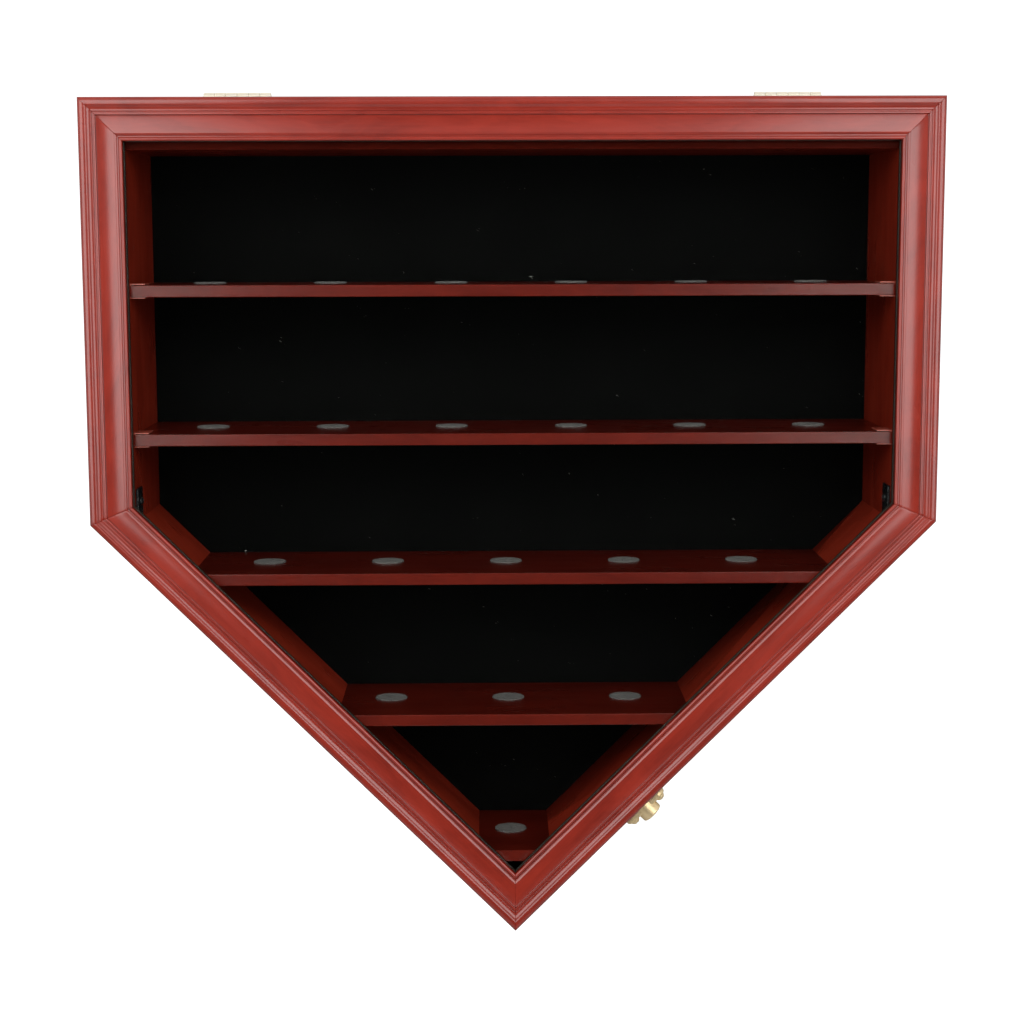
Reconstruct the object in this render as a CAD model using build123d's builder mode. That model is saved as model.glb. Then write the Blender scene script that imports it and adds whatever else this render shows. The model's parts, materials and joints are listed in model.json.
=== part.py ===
# Wall-hung display case for twenty-one balls, in the outline of a home plate.
# Millimetres. X to the right, Z up, the room side is -Y, the wall is the plane Y = 0.
# The origin lies on the wall, midway between the round holes of the two keyhole hangers.
import os
from math import sqrt

from build123d import *

os.makedirs("parts", exist_ok=True)

# Overall sizes
door_width = 622.0          # across the door frame
door_side = 308.5           # straight upright sides of the door frame
case_depth = 129.0          # wall to the front of the door frame

# Door frame moulding, clear panel and the strips that hold it
frame_lap = 8.6             # door frame past the inside of the slanted boards
frame_depth = 14.0
lip_width = 4.5             # how far the moulding laps the clear panel
panel_thickness = 2.0
panel_gap = 0.5             # clearance round the edge of the panel
strip_height = 3.0          # holding strip, from the back of the frame
strip_width = 4.9           # shows a little past the lip
door_gap = 0.3              # air between the door and the box

# Box
overhang = 1.0              # door frame past the outside of the box, all round
side_board = 30.5
top_board = 35.8
slant_board = 21.4
back_rebate = 8.0           # how far the back board is let into the box boards
back_recess = 1.0           # back board in from the wall face
back_board = 3.0
felt_thickness = 1.2
rebate_gap = 0.5

# Shelves, each top face below the top of the door as a share of the door's height
shelf_shares = (0.2163, 0.3923, 0.5609, 0.7345, 0.9048)
shelf_thickness = 8.6
shelf_set_back = 1.2        # shelf front behind the front of the box

# Clips on the ends of the two full-width shelves
clip_length = 20.0
clip_flange = 11.0
clip_thickness = 1.0
clip_set_back = 1.0         # clip behind the front of the shelf
clip_gap = 0.3

# Round ball rests
pad_diameter = 25.0
pad_thickness = 1.5
pad_edge = 0.5
pad_margin = 52.0           # wall to the centre of the end rest on a full-width shelf
pad_set_back = 57.0         # centre of a rest behind the front of the shelf
pad_counts = (6, 6, 5, 3, 1)
pad_shifts = (-1.0, -1.0, -5.5, -4.0, -2.5)

# Bent corner braces
brace_width = 20.0
brace_leg = 25.0
brace_thickness = 2.0
brace_set_back = 2.2        # brace behind the front of the box
brace_screw_at = 15.0       # screw from the bend, along the leg

# Hinges
hinge_inset = 113.0         # side of the door to the middle of a hinge
knuckle_count = 6
knuckle_pitch = 8.1
knuckle_gap = 0.2
barrel_diameter = 5.6
pin_diameter = 2.4
pin_clearance = 0.05        # radial
pin_rise = 0.6              # pin centre above the top of the door
leaf_thickness = 1.2
leaf_height = 14.0          # lower edge of the leaf below the top of the door
leaf_gap = 0.3
barrel_clearance = 0.3
hinge_screw_drop = 9.0
hinge_screw_spread = 17.0

# Lock on the lower right board
lock_along = 134.3          # lock centre from the tip, along the slanted edge
lock_set_back = 9.0         # lock centre behind the front of the box
lock_length = 38.0
lock_width = 13.4
lock_height = 9.0
lock_drum = 16.8
lock_drum_height = 15.2
lock_barrel = 15.0
lock_screw_spread = 26.4
lock_foot_round = 1.5
lock_drum_edge = 0.9
plug_diameter = 10.0
plug_recess = 0.4
plug_clearance = 0.05
barrel_proud = 0.6          # lock barrel past the inside of the board
tail_square = 5.0
tail_clearance = 0.05
key_slot_length = 7.2
key_slot_width = 1.4
key_hole = 2.6
key_depth = 9.0
cam_radius = 7.2
cam_hub = 7.8
cam_thickness = 1.8
cam_gap = 0.4
cam_screw_head = 6.0
cam_screw_height = 1.8
cam_screw_shank = 2.6
cam_screw_length = 8.0

# Strike on the back of the door, which the half-moon cam holds
strike_width = 10.0
strike_thickness = 1.2
strike_foot = 18.0
strike_gap = 0.7            # strike leg from the inside of the board
strike_along = 8.2          # near edge of the strike from the lock centre
strike_lip_near = 4.2       # near edge of the lip from the lock centre
strike_lip_past = 0.65      # lip past the inner face of the cam
strike_lip_under = 0.25     # lip clear of the end of the plug
strike_lip_gap = 0.3
strike_screw_step = 4.0     # screws either side of the middle of the foot

# Keyhole hangers
hanger_inset = 107.8        # side of the door to the middle of a hanger
hanger_length = 46.0
hanger_height = 20.0
hanger_thickness = 1.5
hanger_hole_drop = 3.5      # round hole below the middle of the plate
hanger_slot = 4.6
hanger_head = 9.4
hanger_slot_length = 7.0    # round hole centre to the top of the slot, centre to centre
hanger_screw_spread = 34.0
hanger_recess = 8.0
hanger_pocket_gap = 1.2     # pocket wider than the round hole, each side

# Screws
screw_clearance = 0.05      # radial, screw in its hole
small_shank = 2.6
small_head = 5.0
brace_shank = 3.0
brace_head = 6.6
brace_head_height = 2.2
brace_screw_length = 14.0
lock_shank = 3.4
lock_head = 7.6
lock_head_height = 3.4
lock_screw_depth = 14.0
hinge_screw_length = 8.0
back_screw_length = 13.0
back_screw_shares = (0.12, 0.5, 0.88)
hanger_screw_length = 14.0
cut_past = 1.0              # how far a cut runs past a face

# Places that follow from the sizes
half = door_width / 2
frame_width = overhang + slant_board + frame_lap
hanger_spacing = door_width - 2 * hanger_inset
hinge_spacing = door_width - 2 * hinge_inset
door_top = overhang + (top_board - back_rebate) / 2 + hanger_hole_drop
hanger_top = hanger_height / 2 + hanger_hole_drop
door_tip = door_top - door_side - half
door_front = -case_depth
door_back = door_front + frame_depth
box_front = door_back + door_gap
felt_front = -(back_recess + back_board + felt_thickness)
shelf_front = box_front + shelf_set_back
joint_y = door_back + door_gap / 2
pin_z = door_top + pin_rise
hinge_length = knuckle_count * knuckle_pitch
inner_half = half - overhang - side_board
pad_pitch = 2 * (inner_half - pad_margin) / (max(pad_counts) - 1)
wall_side = overhang + side_board
wall_top = overhang + top_board
wall_slant = overhang + slant_board
panel_seat = strip_height + panel_thickness
lock_y = box_front + lock_set_back


# Geometry helpers

def plate_outline(top, side, slant):
    """Corners (x, z) of the home plate, moved in by one distance for each kind of side."""
    x = half - side
    low = door_tip + slant * sqrt(2)
    return [(-x, door_top - top), (x, door_top - top), (x, low + x), (0, low), (-x, low + x)]


def member_outline(number, outer, inner):
    """Mitred face of one side: number 0 is the top, then clockwise seen from the room."""
    after = (number + 1) % 5
    return [outer[number], outer[after], inner[after], inner[number]]


def wall_plane(y):
    """Plane square to Y, with its own x along X and its own y along Z, facing the room."""
    return Plane(origin=(0, y, 0), x_dir=(1, 0, 0), z_dir=(0, -1, 0))


def slab(points, back, front):
    """Prism of an (x, z) outline between two depths."""
    with BuildPart() as block:
        with BuildSketch(wall_plane(back)):
            with BuildLine():
                Polyline(*points, close=True)
            make_face()
        extrude(amount=back - front)
    return block.part


def member_plane(start, end):
    """Section plane of a door side: own x runs inwards from the edge, own y to the room."""
    along = Vector(end[0] - start[0], 0, end[1] - start[1]).normalized()
    inwards = Vector(along.Z, 0, -along.X)
    return Plane(origin=(start[0], door_back, start[1]), x_dir=inwards, z_dir=along * -1)


def rod(centre, direction, diameter, length):
    """Round rod that starts at a point and runs in a direction."""
    with BuildPart() as bar:
        with BuildSketch(Plane(origin=centre, z_dir=direction)):
            Circle(diameter / 2)
        extrude(amount=length)
    return bar.part


def pan_screw(place, direction, shank, head, height, length):
    """Round-headed screw: the head stands on the place and the shank goes in."""
    with BuildPart() as screw:
        with BuildSketch(Plane(origin=place, z_dir=Vector(*direction) * -1)):
            Circle(head / 2)
        extrude(amount=height)
        fillet(screw.faces().sort_by(Axis(place, Vector(*direction) * -1))[-1].edges(), height * 0.6)
        with BuildSketch(Plane(origin=place, z_dir=direction)):
            Circle(shank / 2)
        extrude(amount=length)
    return screw.part


def flat_screw(place, direction, shank, head, length):
    """Countersunk screw: the head is flush with the place and the shank goes in."""
    sink = (head - shank) / 2
    face = Plane(origin=place, z_dir=direction)
    with BuildPart() as screw:
        with BuildSketch(face):
            Circle(head / 2)
        with BuildSketch(face.offset(sink)):
            Circle(shank / 2)
        loft()
        with BuildSketch(face.offset(sink)):
            Circle(shank / 2)
        extrude(amount=length - sink)
    return screw.part


def screw_hole(place, direction, shank, head, length):
    """Hole for a countersunk screw, larger all round by the clearance."""
    wide = 2 * screw_clearance
    return flat_screw(place, direction, shank + wide, head + wide, length + screw_clearance)


def finish(piece, name):
    """Name a piece and write it."""
    piece.label = name
    export_step(piece, f"parts/{name}.step")


def group(pieces, name):
    """Write separate like solids as one group."""
    finish(Compound(children=pieces), name)


# Outlines of the door and the box

door_edge = plate_outline(0, 0, 0)
door_opening = plate_outline(frame_width, frame_width, frame_width)
box_edge = plate_outline(overhang, overhang, overhang)
box_inside = plate_outline(wall_top, wall_side, wall_slant)
rebate_edge = plate_outline(wall_top - back_rebate, wall_side - back_rebate, wall_slant - back_rebate)
board_inset = back_rebate - rebate_gap
back_edge = plate_outline(wall_top - board_inset, wall_side - board_inset, wall_slant - board_inset)
side_names = ("top", "right", "lower_right", "lower_left", "left")

# Lock plane on the outside of the slanted board: own x along its edge, own z outwards.
slant = 1 / sqrt(2)
lock_plane = Plane(
    origin=((lock_along - overhang) * slant, lock_y, door_tip + (lock_along + overhang) * slant),
    x_dir=(slant, 0, slant),
    z_dir=(slant, 0, -slant),
)


def lock_direction(along, back, out):
    """Direction from the lock: along the slanted edge, to the wall and outwards."""
    return lock_plane.x_dir * along + Vector(0, back, 0) + lock_plane.z_dir * out


def lock_at(along, back, out):
    """Point at such distances from the middle of the lock's foot."""
    return lock_plane.origin + lock_direction(along, back, out)


# Screw places, each (point, direction)

def hinge_centres():
    return (-hinge_spacing / 2, hinge_spacing / 2)


def hinge_screws(side):
    """Screws of both hinges into the box (side 1) or the door (side -1)."""
    start = joint_y + side * leaf_gap / 2
    return [
        ((x + step, start, door_top - hinge_screw_drop), (0, side, 0))
        for x in hinge_centres()
        for step in (-hinge_screw_spread, 0, hinge_screw_spread)
    ]


def brace_screws(side):
    """Screws of one corner brace: into the upright board, then into the slanted one."""
    y = box_front + brace_set_back + brace_width / 2
    corner = Vector(side * inner_half, y, box_inside[2][1])
    into_side = Vector(side, 0, 0)
    into_slant = Vector(side * slant, 0, -slant)
    up = corner + Vector(0, 0, brace_screw_at)
    down = corner + Vector(-side * slant, 0, -slant) * brace_screw_at
    return [
        (tuple(up - into_side * brace_thickness), tuple(into_side)),
        (tuple(down - into_slant * brace_thickness), tuple(into_slant)),
    ]


def hanger_screws():
    """Screws of both keyhole hangers."""
    z = hanger_top - hanger_height / 2
    return [
        ((x + step, 0, z), (0, -1, 0))
        for x in (-hanger_spacing / 2, hanger_spacing / 2)
        for step in (-hanger_screw_spread / 2, hanger_screw_spread / 2)
    ]


def back_screws(number):
    """Three screws through the back board into one side of the box."""
    inset = back_rebate / 2
    ring = plate_outline(wall_top - inset, wall_side - inset, wall_slant - inset)
    ax, az = ring[number]
    bx, bz = ring[(number + 1) % 5]
    return [
        ((ax + (bx - ax) * share, -back_recess, az + (bz - az) * share), (0, -1, 0))
        for share in back_screw_shares
    ]


def all_back_screws():
    return [screw for number in range(5) for screw in back_screws(number)]


def lock_screws():
    return [
        (tuple(lock_at(step, 0, lock_height)), tuple(lock_direction(0, 0, -1)))
        for step in (-lock_screw_spread / 2, lock_screw_spread / 2)
    ]


strike_middle = strike_along + strike_width / 2


def strike_screws():
    """Screws of the strike into the back of the door, in line across the moulding."""
    reach = overhang + slant_board + strike_gap
    middle = reach - strike_foot / 2
    places = []
    for out in (strike_screw_step - middle, -strike_screw_step - middle):
        point = lock_at(strike_middle, door_back - lock_y, out + overhang)
        places.append((tuple(point), (0, -1, 0)))
    return places


# Door

def moulding_point(across, up):
    """Point of the moulding: a share of the frame's width, and of its rise above the panel."""
    return (frame_width * across, panel_seat + (frame_depth - panel_seat) * up)


def moulding_section():
    """Moulding across the door frame, drawn from the outer edge inwards."""
    at = moulding_point
    rebate = frame_width - lip_width
    with BuildLine() as line:
        Line((0, 0), at(0, 0.62))
        bead = ThreePointArc(at(0, 0.62), at(0.03, 0.9), at(0.09, 0.985))
        crest = ThreePointArc(bead @ 1, at(0.12, 1), at(0.15, 0.99))
        bead_fall = ThreePointArc(crest @ 1, at(0.195, 0.945), at(0.232, 0.86))
        Polyline(bead_fall @ 1, at(0.238, 0.66), at(0.312, 0.66), at(0.318, 0.8), at(0.338, 0.8), at(0.346, 0.72))
        ridge = Polyline(at(0.346, 0.72), at(0.358, 0.72), at(0.368, 0.87), at(0.414, 0.87), at(0.43, 0.7))
        cove = ThreePointArc(ridge @ 1, at(0.61, 0.565), at(0.85, 0.6))
        Polyline(cove @ 1, at(0.862, 0.45), at(0.91, 0.45))
        inner_bead = ThreePointArc(at(0.91, 0.45), at(0.955, 0.66), at(1, 0.45))
        Polyline(inner_bead @ 1, (frame_width, panel_seat), (rebate, panel_seat), (rebate, 0), (0, 0))
    return line.line


def door_member(number):
    """One mitred side of the door frame, with its moulded face."""
    start = door_edge[number]
    end = door_edge[(number + 1) % 5]
    length = sqrt((end[0] - start[0]) ** 2 + (end[1] - start[1]) ** 2)
    outline = member_outline(number, door_edge, door_opening)
    with BuildPart() as member:
        with BuildSketch(member_plane(start, end)):
            with BuildLine():
                add(moulding_section())
            make_face()
        extrude(amount=-length)
        add(slab(outline, door_back, door_front), mode=Mode.INTERSECT)
        if number == 0:
            for x in hinge_centres():
                add(barrel_groove(x), mode=Mode.SUBTRACT)
                add(leaf_mortise(x, -1), mode=Mode.SUBTRACT)
            for place, direction in hinge_screws(-1):
                hole = screw_hole(place, direction, small_shank, small_head, hinge_screw_length)
                add(hole, mode=Mode.SUBTRACT)
        if number == 2:
            add(strike_mortise(), mode=Mode.SUBTRACT)
            for place, direction in strike_screws():
                hole = screw_hole(place, direction, small_shank, small_head, hinge_screw_length)
                add(hole, mode=Mode.SUBTRACT)
    return member.part


def barrel_groove(x):
    """Round groove that the hinge barrel lies in."""
    length = hinge_length + 2 * barrel_clearance
    return rod((x - length / 2, joint_y, pin_z), (1, 0, 0), barrel_diameter + 2 * barrel_clearance, length)


def leaf_mortise(x, side):
    """Shallow seat for a hinge leaf, in the box (side 1) or the door (side -1)."""
    length = hinge_length + 2 * barrel_clearance
    deep = joint_y + side * (leaf_gap / 2 + leaf_thickness)
    low = door_top - leaf_height - barrel_clearance
    outline = [(x - length / 2, low), (x + length / 2, low), (x + length / 2, pin_z), (x - length / 2, pin_z)]
    return slab(outline, max(deep, joint_y), min(deep, joint_y))


def clear_panel():
    inset = frame_width - lip_width + panel_gap
    outline = plate_outline(inset, inset, inset)
    back = door_back - strip_height
    return slab(outline, back, back - panel_thickness)


def holding_strip(number):
    rebate = frame_width - lip_width
    inside = rebate + strip_width
    outer = plate_outline(rebate, rebate, rebate)
    inner = plate_outline(inside, inside, inside)
    return slab(member_outline(number, outer, inner), door_back, door_back - strip_height)


# Box

def box_member(number):
    """One mitred board of the box, rebated behind for the back board."""
    with BuildPart() as board:
        add(slab(member_outline(number, box_edge, box_inside), 0, box_front))
        add(slab(rebate_edge, 0, felt_front), mode=Mode.SUBTRACT)
        for place, direction in back_screws(number):
            hole = screw_hole(place, direction, small_shank, small_head, back_screw_length)
            add(hole, mode=Mode.SUBTRACT)
        if number == 0:
            for x in hinge_centres():
                add(barrel_groove(x), mode=Mode.SUBTRACT)
                add(leaf_mortise(x, 1), mode=Mode.SUBTRACT)
            for place, direction in hinge_screws(1):
                hole = screw_hole(place, direction, small_shank, small_head, hinge_screw_length)
                add(hole, mode=Mode.SUBTRACT)
            for x in (-hanger_spacing / 2, hanger_spacing / 2):
                add(hanger_blank(x, rebate_gap), mode=Mode.SUBTRACT)
                add(hanger_pocket(x), mode=Mode.SUBTRACT)
            for place, direction in hanger_screws():
                hole = screw_hole(place, direction, small_shank, small_head, hanger_screw_length)
                add(hole, mode=Mode.SUBTRACT)
        sides = {1: (1, 0), 2: (1, 1), 3: (-1, 1), 4: (-1, 0)}
        if number in sides:
            side, which = sides[number]
            place, direction = brace_screws(side)[which]
            wide = brace_shank + 2 * screw_clearance
            add(rod(place, direction, wide, brace_screw_length + screw_clearance), mode=Mode.SUBTRACT)
        if number == 2:
            start = lock_at(0, 0, cut_past)
            across = lock_barrel + 2 * screw_clearance
            deep = slant_board + 2 * cut_past
            add(rod(start, lock_direction(0, 0, -1), across, deep), mode=Mode.SUBTRACT)
            for place, direction in lock_screws():
                wide = lock_shank + 2 * screw_clearance
                deep = lock_height + lock_screw_depth + screw_clearance
                add(rod(place, direction, wide, deep), mode=Mode.SUBTRACT)
    return board.part


def back_panel():
    with BuildPart() as board:
        add(slab(back_edge, -back_recess, -back_recess - back_board))
        for place, direction in all_back_screws():
            add(screw_hole(place, direction, small_shank, small_head, back_screw_length), mode=Mode.SUBTRACT)
    return board.part


def felt_lining():
    with BuildPart() as felt:
        add(slab(back_edge, -back_recess - back_board, felt_front))
        for place, direction in all_back_screws():
            add(screw_hole(place, direction, small_shank, small_head, back_screw_length), mode=Mode.SUBTRACT)
    return felt.part


# Shelves

def shelf_top(number):
    return door_top - shelf_shares[number] * (door_top - door_tip)


def inside_half(z):
    """Half the inside width of the box at a height."""
    return min(inner_half, z - box_inside[3][1])


def has_clips(number):
    """Only shelves between the upright sides stand in clips."""
    return shelf_top(number) - shelf_thickness > box_inside[2][1]


def shelf(number):
    top = shelf_top(number)
    low = top - shelf_thickness
    wide_top = inside_half(top)
    wide_low = inside_half(low)
    with BuildPart() as board:
        add(slab([(-wide_top, top), (wide_top, top), (wide_low, low), (-wide_low, low)], felt_front, shelf_front))
        if has_clips(number):
            for side in (-1, 1):
                deep = clip_thickness + clip_gap
                near = inner_half - deep
                outline = [(side * near, low), (side * inner_half, low), (side * inner_half, top), (side * near, top)]
                front = shelf_front + clip_set_back - clip_gap
                add(slab(outline, front + clip_length + 2 * clip_gap, front), mode=Mode.SUBTRACT)
    return board.part


def shelf_clip(number, side):
    """U-shaped clip round the end of a shelf: a web on the board and two flanges."""
    top = shelf_top(number) + clip_gap
    low = shelf_top(number) - shelf_thickness
    wall = side * inner_half
    web = side * (inner_half - clip_thickness)
    tip = side * (inner_half - clip_flange)
    outline = [
        (wall, low - clip_thickness), (tip, low - clip_thickness), (tip, low), (web, low),
        (web, top), (tip, top), (tip, top + clip_thickness), (wall, top + clip_thickness),
    ]
    front = shelf_front + clip_set_back
    return slab(outline, front + clip_length, front)


def shelf_pads(number):
    """Round rests along one shelf."""
    count = pad_counts[number]
    pads = []
    for place in range(count):
        x = (place - (count - 1) / 2) * pad_pitch + pad_shifts[number]
        with BuildPart() as pad:
            with BuildSketch(Plane(origin=(x, shelf_front + pad_set_back, shelf_top(number)))):
                Circle(pad_diameter / 2)
            extrude(amount=pad_thickness)
            fillet(pad.faces().sort_by(Axis.Z)[-1].edges(), pad_edge)
        pads.append(pad.part)
    return pads


def corner_brace(side):
    """Strip bent round the inside of a corner where an upright board meets a slanted one."""
    corner_x, corner_z = side * inner_half, box_inside[2][1]
    inner_turn = brace_thickness * (sqrt(2) - 1)
    leg = brace_leg * slant
    end = brace_thickness * slant
    outline = [
        (corner_x, corner_z + brace_leg),
        (corner_x, corner_z),
        (corner_x - side * leg, corner_z - leg),
        (corner_x - side * (leg + end), corner_z - leg + end),
        (corner_x - side * brace_thickness, corner_z + inner_turn),
        (corner_x - side * brace_thickness, corner_z + brace_leg),
    ]
    front = box_front + brace_set_back
    with BuildPart() as strip:
        add(slab(outline, front + brace_width, front))
        for place, direction in brace_screws(side):
            wide = brace_shank + 2 * screw_clearance
            add(rod(place, direction, wide, brace_thickness), mode=Mode.SUBTRACT)
    return strip.part


# Hinges

def hinge_leaf(x, side):
    """Leaf with its knuckles: the box leaf (side 1) has the first, third and fifth."""
    start = x - hinge_length / 2
    first = 0 if side == 1 else 1
    face = joint_y + side * leaf_gap / 2
    deep = face + side * leaf_thickness
    low = door_top - leaf_height
    high = pin_z - barrel_diameter / 2 - knuckle_gap
    with BuildPart() as leaf:
        plate = [(start, low), (start + hinge_length, low), (start + hinge_length, high), (start, high)]
        add(slab(plate, max(face, deep), min(face, deep)))
        for place in range(first, knuckle_count, 2):
            near = start + place * knuckle_pitch + knuckle_gap / 2
            far = near + knuckle_pitch - knuckle_gap
            add(slab([(near, low), (far, low), (far, pin_z), (near, pin_z)], max(face, deep), min(face, deep)))
            add(rod((near, joint_y, pin_z), (1, 0, 0), barrel_diameter, far - near))
        bore = pin_diameter + 2 * pin_clearance
        bore_start = (start - cut_past, joint_y, pin_z)
        add(rod(bore_start, (1, 0, 0), bore, hinge_length + 2 * cut_past), mode=Mode.SUBTRACT)
        for place, direction in hinge_screws(side):
            if abs(place[0] - x) < hinge_length / 2:
                hole = screw_hole(place, direction, small_shank, small_head, hinge_screw_length)
                add(hole, mode=Mode.SUBTRACT)
    return leaf.part


def hinge_pin(x):
    return rod((x - hinge_length / 2, joint_y, pin_z), (1, 0, 0), pin_diameter, hinge_length)


# Lock

def lock_case():
    """Cast case: a long foot with round ends, a drum, and a barrel through the board."""
    with BuildPart() as case:
        with BuildSketch(lock_plane):
            SlotOverall(lock_length, lock_width)
        extrude(amount=lock_height)
        fillet(case.faces().sort_by(Axis(lock_plane.origin, lock_plane.z_dir))[-1].edges(), lock_foot_round)
        with BuildSketch(lock_plane):
            Circle(lock_drum / 2)
        extrude(amount=lock_drum_height)
        chamfer(case.faces().sort_by(Axis(lock_plane.origin, lock_plane.z_dir))[-1].edges(), lock_drum_edge)
        with BuildSketch(lock_plane):
            Circle(lock_barrel / 2)
        extrude(amount=-(slant_board + barrel_proud))
        with BuildSketch(lock_plane.offset(lock_drum_height + cut_past)):
            Circle(plug_diameter / 2 + plug_clearance)
        deep = lock_drum_height + slant_board + barrel_proud + 2 * cut_past
        extrude(amount=-deep, mode=Mode.SUBTRACT)
        for place, direction in lock_screws():
            wide = lock_shank + 2 * screw_clearance
            add(rod(place, direction, wide, lock_height + cut_past), mode=Mode.SUBTRACT)
    return case.part


cam_out = -(slant_board + barrel_proud + cam_gap)


def lock_plug():
    """Turning plug with its key slot and the square tail that drives the cam."""
    with BuildPart() as plug:
        with BuildSketch(lock_plane.offset(lock_drum_height - plug_recess)):
            Circle(plug_diameter / 2)
        extrude(amount=-(lock_drum_height - plug_recess - cam_out))
        with BuildSketch(lock_plane.offset(lock_drum_height - plug_recess)):
            SlotOverall(key_slot_length, key_slot_width)
            Circle(key_hole / 2)
        extrude(amount=-key_depth, mode=Mode.SUBTRACT)
        with BuildSketch(lock_plane.offset(cam_out)):
            Rectangle(tail_square, tail_square)
        extrude(amount=-cam_thickness)
        with BuildSketch(lock_plane.offset(cam_out - cam_thickness)):
            Circle(cam_screw_shank / 2 + screw_clearance)
        extrude(amount=cam_screw_length + cut_past, mode=Mode.SUBTRACT)
    return plug.part


def lock_cam():
    """Half-moon cam: its round half faces the tip when unlocked and the wall when locked."""
    with BuildPart() as cam:
        with BuildSketch(lock_plane.offset(cam_out)):
            Circle(cam_radius)
            with Locations((cam_radius, 0)):
                Rectangle(2 * cam_radius, 2 * cam_radius, mode=Mode.SUBTRACT)
            Circle(cam_hub / 2)
            tail_hole = tail_square + 2 * tail_clearance
            Rectangle(tail_hole, tail_hole, mode=Mode.SUBTRACT)
        extrude(amount=-cam_thickness)
    return cam.part


def cam_screw():
    place = lock_at(0, 0, cam_out - cam_thickness)
    direction = lock_direction(0, 0, 1)
    return pan_screw(tuple(place), tuple(direction), cam_screw_shank, cam_screw_head, cam_screw_height, cam_screw_length)


def lock_block(along, back, out):
    """Block in the lock's own frame, from three pairs of limits."""
    middle = lock_at((along[0] + along[1]) / 2, (back[0] + back[1]) / 2, (out[0] + out[1]) / 2)
    plane = Plane(origin=middle, x_dir=lock_plane.x_dir, z_dir=lock_plane.z_dir)
    with BuildPart() as block:
        with BuildSketch(plane):
            Rectangle(abs(along[1] - along[0]), abs(back[1] - back[0]))
        extrude(amount=abs(out[1] - out[0]) / 2, both=True)
    return block.part


leg_out = -(slant_board + strike_gap)
foot_back = door_back - lock_y
strike_far = strike_along + strike_width
lip_back = cam_radius * sqrt(1 - (strike_lip_near / cam_radius) ** 2) + strike_lip_gap


def strike_mortise():
    """Seat of the strike's foot in the back of the door."""
    gap = strike_lip_gap
    return lock_block(
        (strike_along - gap, strike_far + gap),
        (foot_back - strike_thickness, foot_back + cut_past),
        (leg_out - strike_thickness - gap, leg_out - strike_thickness + strike_foot + gap),
    )


def lock_strike():
    """Bent strike: foot on the door, leg into the box and a lip that the cam holds."""
    leg_low = leg_out - strike_thickness
    lip = (lip_back, lip_back + strike_thickness)
    lip_low = cam_out - cam_thickness - strike_lip_past
    with BuildPart() as strike:
        foot = (foot_back - strike_thickness, foot_back)
        add(lock_block((strike_along, strike_far), foot, (leg_low, leg_low + strike_foot)))
        leg = (foot_back - strike_thickness, lip_back + strike_thickness)
        add(lock_block((strike_along, strike_far), leg, (leg_low, leg_out)))
        add(lock_block((strike_along, strike_far), lip, (lip_low, leg_out)))
        add(lock_block((strike_lip_near, strike_far), lip, (lip_low, cam_out - strike_lip_under)))
        for place, direction in strike_screws():
            hole = screw_hole(place, direction, small_shank, small_head, hinge_screw_length)
            add(hole, mode=Mode.SUBTRACT)
    return strike.part


# Hangers

def hanger_blank(x, gap):
    """Outline of a hanger as a block, with a gap round it."""
    wide = hanger_length / 2 + gap
    high = hanger_top + gap
    low = hanger_top - hanger_height - gap
    return slab([(x - wide, low), (x + wide, low), (x + wide, high), (x - wide, high)], 0, -hanger_thickness)


def hanger_pocket(x):
    """Pocket behind a hanger for the head of the wall screw."""
    wide = hanger_head / 2 + hanger_pocket_gap
    high = hanger_slot_length + hanger_head / 2
    low = -hanger_head / 2 - hanger_pocket_gap / 2
    outline = [(x - wide, low), (x + wide, low), (x + wide, high), (x - wide, high)]
    return slab(outline, 0, -hanger_thickness - hanger_recess)


def keyhole_hanger(x):
    """Steel plate with a keyhole: the screw head goes in below and rides up the slot."""
    with BuildPart() as plate:
        add(hanger_blank(x, 0))
        with BuildSketch(Plane(origin=(x, 0, 0), x_dir=(1, 0, 0), z_dir=(0, -1, 0))):
            Circle(hanger_head / 2)
            with Locations((0, hanger_slot_length / 2)):
                SlotCenterToCenter(hanger_slot_length, hanger_slot, rotation=90)
        extrude(amount=hanger_thickness, mode=Mode.SUBTRACT)
        for place, direction in hanger_screws():
            if abs(place[0] - x) < hanger_length / 2:
                hole = screw_hole(place, direction, small_shank, small_head, hanger_screw_length)
                add(hole, mode=Mode.SUBTRACT)
    return plate.part


# Write every piece

for number, side_name in enumerate(side_names):
    finish(door_member(number), f"door_{side_name}")
    finish(holding_strip(number), f"panel_strip_{side_name}")
    finish(box_member(number), f"box_{side_name}")
finish(clear_panel(), "clear_panel")
finish(back_panel(), "back_panel")
finish(felt_lining(), "felt_lining")

for number in range(len(shelf_shares)):
    finish(shelf(number), f"shelf_{number + 1}")
    group(shelf_pads(number), f"ball_rests_{number + 1}")
    if has_clips(number):
        finish(shelf_clip(number, -1), f"shelf_clip_{number + 1}_left")
        finish(shelf_clip(number, 1), f"shelf_clip_{number + 1}_right")

for side, word in ((-1, "left"), (1, "right")):
    x = side * hinge_spacing / 2
    finish(corner_brace(side), f"corner_brace_{word}")
    finish(hinge_leaf(x, 1), f"hinge_box_leaf_{word}")
    finish(hinge_leaf(x, -1), f"hinge_door_leaf_{word}")
    finish(hinge_pin(x), f"hinge_pin_{word}")
    finish(keyhole_hanger(side * hanger_spacing / 2), f"keyhole_hanger_{word}")

finish(lock_case(), "lock_case")
finish(lock_plug(), "lock_plug")
finish(lock_cam(), "lock_cam")
finish(cam_screw(), "lock_cam_screw")
finish(lock_strike(), "lock_strike")

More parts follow.
